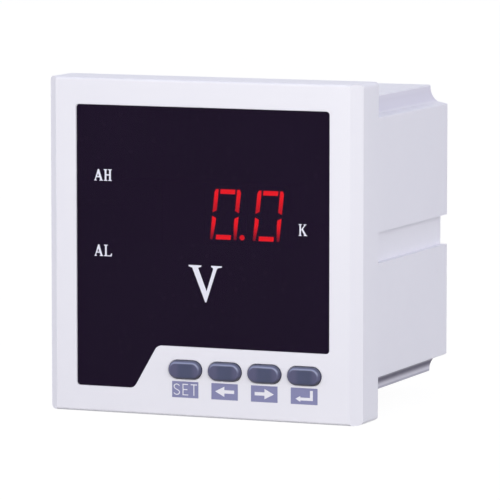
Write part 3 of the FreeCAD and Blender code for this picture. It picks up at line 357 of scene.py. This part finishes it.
def dark_window():
    """Polished purple-black acrylic, through which only what is lit shows.

    Faint smears, as from wiping it, vary its gloss.
    """
    material, shader, nodes = new_material("dark_window")
    place = nodes.place()
    cloud = place.noise(30.0 * MM)
    wiped = nodes.add(
        "ShaderNodeMapping",
        None,
        {"Vector": place, "Rotation": (0.0, 0.5, 0.0), "Scale": (1.0, 1.0, 0.2)},
    )
    smear = wiped.noise(3.0 * MM, 5.0, 0.6)
    connect(
        shader,
        base_color=cloud.mix(rgb(25, 11, 36), rgb(30, 16, 42)),
        roughness=smear * 0.10 + 0.06,
    )
    shader.inputs["Alpha"].default_value = 0.80
    shader.inputs["Specular IOR Level"].default_value = 0.08
    return material


def printed(name, colour):
    """Screen print: an even ink with a faint mesh in it and uneven gloss."""
    material, shader, nodes = new_material(name)
    place = nodes.place()
    mesh = place.noise(0.16 * MM, 1.0)
    connect(
        shader,
        base_color=mesh.mix(scaled(colour, 0.92), scaled(colour, 1.06)),
        roughness=place.noise(0.8 * MM, 3.0) * 0.2 + 0.45,
    )
    return material


def lit_red():
    """Lit bars. The uprights fade downwards, each in its own half, and the point is weaker."""
    material, shader, nodes = new_material("lit_red")
    place = nodes.place()
    rise = place.axis("Z") - FIGURE_LEVEL
    along = place.axis("X") - rise * FIGURE_LEAN - FIRST_LIT
    aside = along.math("PINGPONG", FIGURE_PITCH / 2)
    upright = aside.between(*UPRIGHT_BEGINS) - aside.between(*UPRIGHT_ENDS)
    low = (rise * -1.0).between(*LOWER_FADE)
    point = aside.between(*POINT_BEGINS)
    middle = rise.between(*UPPER_FADE) * rise.between(-0.2 * MM, 0.2 * MM)
    weak = upright * (low * 0.85 + middle * 0.4) + point * 0.22
    strength = (1.0 - weak) * (place.noise(0.7 * MM) * 0.2 + 0.9)
    connect(
        shader,
        base_color=strength.mix(rgb(70, 6, 8), rgb(225, 26, 16)),
        emission_color=strength.mix(rgb(60, 0, 0), rgb(255, 20, 4)),
    )
    shader.inputs["Emission Strength"].default_value = 18.6
    shader.inputs["Roughness"].default_value = 0.4
    return material


def circuit_board():
    """Green lacquer over copper tracks, with bare tinned spots."""
    material, shader, nodes = new_material("board_green")
    place = nodes.place()
    track = place.bands("X", 120.0, 3.0).between(0.62, 0.72)
    spots = nodes.add(
        "ShaderNodeTexVoronoi",
        {"feature": "F1"},
        {"Vector": place, "Scale": 1.0 / (3.4 * MM)},
    )
    pad = (spots * -1.0).between(-0.2, -0.16)
    lacquer = track.mix(rgb(12, 84, 42), rgb(24, 118, 62))
    connect(
        shader,
        base_color=pad.mix(lacquer, rgb(190, 190, 185)),
        roughness=pad * 0.15 + place.noise(2.0 * MM) * 0.1 + 0.25,
        metallic=pad * 0.8,
        normal=track.bump(0.03 * MM),
    )
    return material


def laminated_core():
    """Thin steel sheets under varnish, stacked along Y."""
    material, shader, nodes = new_material("core_iron")
    place = nodes.place()
    sheets = place.bands("Y", 320.0, 0.4)
    rust = place.noise(4.0 * MM, 5.0)
    connect(
        shader,
        base_color=(sheets * 0.5 + rust * 0.5).mix(rgb(58, 56, 58), rgb(104, 100, 98)),
        roughness=rust * 0.2 + 0.4,
        normal=sheets.bump(0.05 * MM),
    )
    shader.inputs["Metallic"].default_value = 0.7
    return material


def wound_tape():
    """Yellow tape over the winding, with its overlapping edges."""
    material, shader, nodes = new_material("winding_yellow")
    place = nodes.place()
    turns = place.bands("Z", 60.0, 0.6, profile="SAW")
    connect(
        shader,
        base_color=turns.mix(rgb(196, 150, 32), rgb(226, 186, 60)),
        roughness=place.noise(3.0 * MM, 3.0) * 0.2 + 0.3,
        normal=turns.bump(0.04 * MM),
    )
    return material


def banded_resistor():
    """Blue lacquer with dark colour bands round the body."""
    material, shader, nodes = new_material("resistor_blue")
    place = nodes.place()
    bands = place.bands("Y", 170.0, detail=0.0).between(0.82, 0.9)
    connect(
        shader,
        base_color=bands.mix(rgb(120, 176, 200), rgb(90, 46, 30)),
        roughness=place.noise(1.0 * MM) * 0.15 + 0.3,
    )
    return material


def fuse_glass():
    """A slightly hazy glass tube."""
    material, shader, nodes = new_material("fuse_glass")
    haze = nodes.place().noise(2.0 * MM, 3.0)
    connect(
        shader,
        base_color=haze.mix(rgb(200, 210, 208), rgb(236, 242, 240)),
        roughness=haze * 0.1 + 0.03,
    )
    shader.inputs["Alpha"].default_value = 0.55
    return material


def make_materials():
    """One material for each slot of the record."""
    black = rgb(30, 30, 31)
    return {
        "white_case": white_case(),
        "dark_window": dark_window(),
        "mark_white": printed("mark_white", rgb(232, 232, 244)),
        "legend_blue": printed("legend_blue", rgb(132, 133, 173)),
        "key_blue": key_plastic(),
        "switch_black": moulded("switch_black", black, 0.5),
        "plunger_white": moulded("plunger_white", rgb(205, 203, 196), 0.45),
        "digit_grey": moulded("digit_grey", rgb(22, 20, 26), 0.7),
        "lit_red": lit_red(),
        "lamp_milky": moulded("lamp_milky", rgb(72, 68, 74), 0.45),
        "board_green": circuit_board(),
        "chip_black": moulded("chip_black", rgb(26, 26, 28), 0.6, 0.15 * MM, 0.02 * MM),
        "connector_black": moulded("connector_black", black, 0.5),
        "terminal_black": moulded("terminal_black", rgb(28, 28, 30), 0.42, 0.3 * MM, 0.02 * MM),
        "terminal_plate": metal("terminal_plate", rgb(214, 212, 206), 0.3),
        "screw_steel": metal("screw_steel", rgb(206, 206, 208), 0.28),
        "core_iron": laminated_core(),
        "winding_yellow": wound_tape(),
        "capacitor_sleeve": moulded("capacitor_sleeve", rgb(30, 30, 52), 0.35, coat=0.4),
        "moulded_black": moulded("moulded_black", rgb(26, 26, 27), 0.55),
        "relay_blue": moulded("relay_blue", rgb(40, 92, 168), 0.35),
        "sink_aluminium": metal(
            "sink_aluminium", rgb(206, 208, 210), 0.4, 0.3 * MM, (1.0, 1.0, 0.1)
        ),
        "fuse_glass": fuse_glass(),
        "clip_metal": metal("clip_metal", rgb(214, 190, 130), 0.3),
        "varistor_blue": moulded("varistor_blue", rgb(36, 92, 160), 0.25, coat=0.5),
        "crystal_can": metal("crystal_can", rgb(200, 200, 202), 0.25),
        "film_red": moulded("film_red", rgb(168, 44, 36), 0.3, coat=0.4),
        "resistor_blue": banded_resistor(),
    }


def dress_nodes(materials):
    """Gives every node the material of its slot."""
    for row in frame["record"]["subparts"]:
        node = frame["nodes"][row["node"]]
        node.data.materials.clear()
        node.data.materials.append(materials[row["material_slot"]])


# Stage


def view_direction():
    """The way the camera looks."""
    return Vector((
        -math.sin(CAMERA_YAW) * math.cos(CAMERA_PITCH),
        math.cos(CAMERA_YAW) * math.cos(CAMERA_PITCH),
        -math.sin(CAMERA_PITCH),
    ))


def set_camera():
    """A long lens at the photograph's angle."""
    data = bpy.data.cameras.new("camera")
    data.lens = CAMERA_LENS
    data.sensor_width = SENSOR_WIDTH
    data.clip_start = NEAREST_SEEN
    data.clip_end = FARTHEST_SEEN
    camera = bpy.data.objects.new("camera", data)
    bpy.context.scene.collection.objects.link(camera)
    camera.location = Vector(CAMERA_TARGET) - view_direction() * CAMERA_DISTANCE
    camera.rotation_euler = (math.pi / 2 - CAMERA_PITCH, 0.0, CAMERA_YAW)
    bpy.context.scene.camera = camera


def seen_directly(nodes):
    """1 for rays from the camera, off gloss or through glass."""
    path = nodes.add("ShaderNodeLightPath")
    rays = path.link.node.outputs
    either = Shade(nodes.tree, rays["Is Camera Ray"]).math(
        "MAXIMUM", Shade(nodes.tree, rays["Is Glossy Ray"])
    )
    return either.math("MAXIMUM", Shade(nodes.tree, rays["Is Transmission Ray"]))


def set_room():
    """A room that lights the meter evenly and shows as plain white."""
    world = bpy.data.worlds.new("room")
    world.use_nodes = True
    bpy.context.scene.world = world
    nodes = Shade(world.node_tree)
    band = 1.0 - nodes.place().axis("Z").between(*BAND_TOP)
    tint = band.mix(ROOM_TOP_TINT, ROOM_TINT)
    strength = band * BAND_LIGHT + ROOM_LIGHT
    light = nodes.add("ShaderNodeBackground", None, {"Color": tint, "Strength": strength})
    white = nodes.add("ShaderNodeBackground", None, {"Color": WHITE, "Strength": 1.0})
    share = seen_directly(nodes)
    both = nodes.add("ShaderNodeMixShader", None, {0: share, 1: light, 2: white})
    output = world.node_tree.nodes["World Output"]
    world.node_tree.links.new(both.link, output.inputs["Surface"])


def set_lamp():
    """One wide, low area lamp that points at the meter."""
    data = bpy.data.lights.new("lamp", "AREA")
    data.shape = "RECTANGLE"
    data.size = LAMP_WIDTH
    data.size_y = LAMP_HEIGHT
    data.energy = LAMP_POWER
    data.color = LAMP_TINT
    lamp = bpy.data.objects.new("lamp", data)
    bpy.context.scene.collection.objects.link(lamp)
    way = Vector(LAMP_DIRECTION).normalized()
    lamp.location = way * LAMP_DISTANCE
    lamp.rotation_euler = way.to_track_quat("Z", "Y").to_euler()


def set_floor():
    """A plain pale floor, white to the eye but for the meter's soft shadow; clear from below."""
    mesh = bpy.data.meshes.new("floor")
    signs = [(-1, -1), (1, -1), (1, 1), (-1, 1)]
    corners = [(x * FLOOR_REACH, y * FLOOR_REACH, FLOOR_LEVEL) for x, y in signs]
    mesh.from_pydata(corners, [], [(0, 1, 2, 3)])
    floor = bpy.data.objects.new("floor", mesh)
    bpy.context.scene.collection.objects.link(floor)
    material = bpy.data.materials.new("floor_pale")
    material.use_nodes = True
    nodes = Shade(material.node_tree)
    grey = (FLOOR_PAINT, FLOOR_PAINT, FLOOR_PAINT, 1.0)
    paint = nodes.add("ShaderNodeBsdfDiffuse", None, {"Color": grey})
    white = nodes.add("ShaderNodeEmission", None, {"Color": WHITE, "Strength": FLOOR_WHITE})
    share = seen_directly(nodes) * FLOOR_WHITE_SHARE
    both = nodes.add("ShaderNodeMixShader", None, {0: share, 1: paint, 2: white})
    below = nodes.add("ShaderNodeNewGeometry", output="Backfacing")
    clear = nodes.add("ShaderNodeBsdfTransparent")
    seen = nodes.add("ShaderNodeMixShader", None, {0: below, 1: both, 2: clear})
    output = material.node_tree.nodes["Material Output"]
    material.node_tree.links.new(seen.link, output.inputs["Surface"])
    mesh.materials.append(material)


bpy.context.scene.view_settings.view_transform = "Standard"
set_camera()
set_room()
set_lamp()
set_floor()
dress_nodes(make_materials())
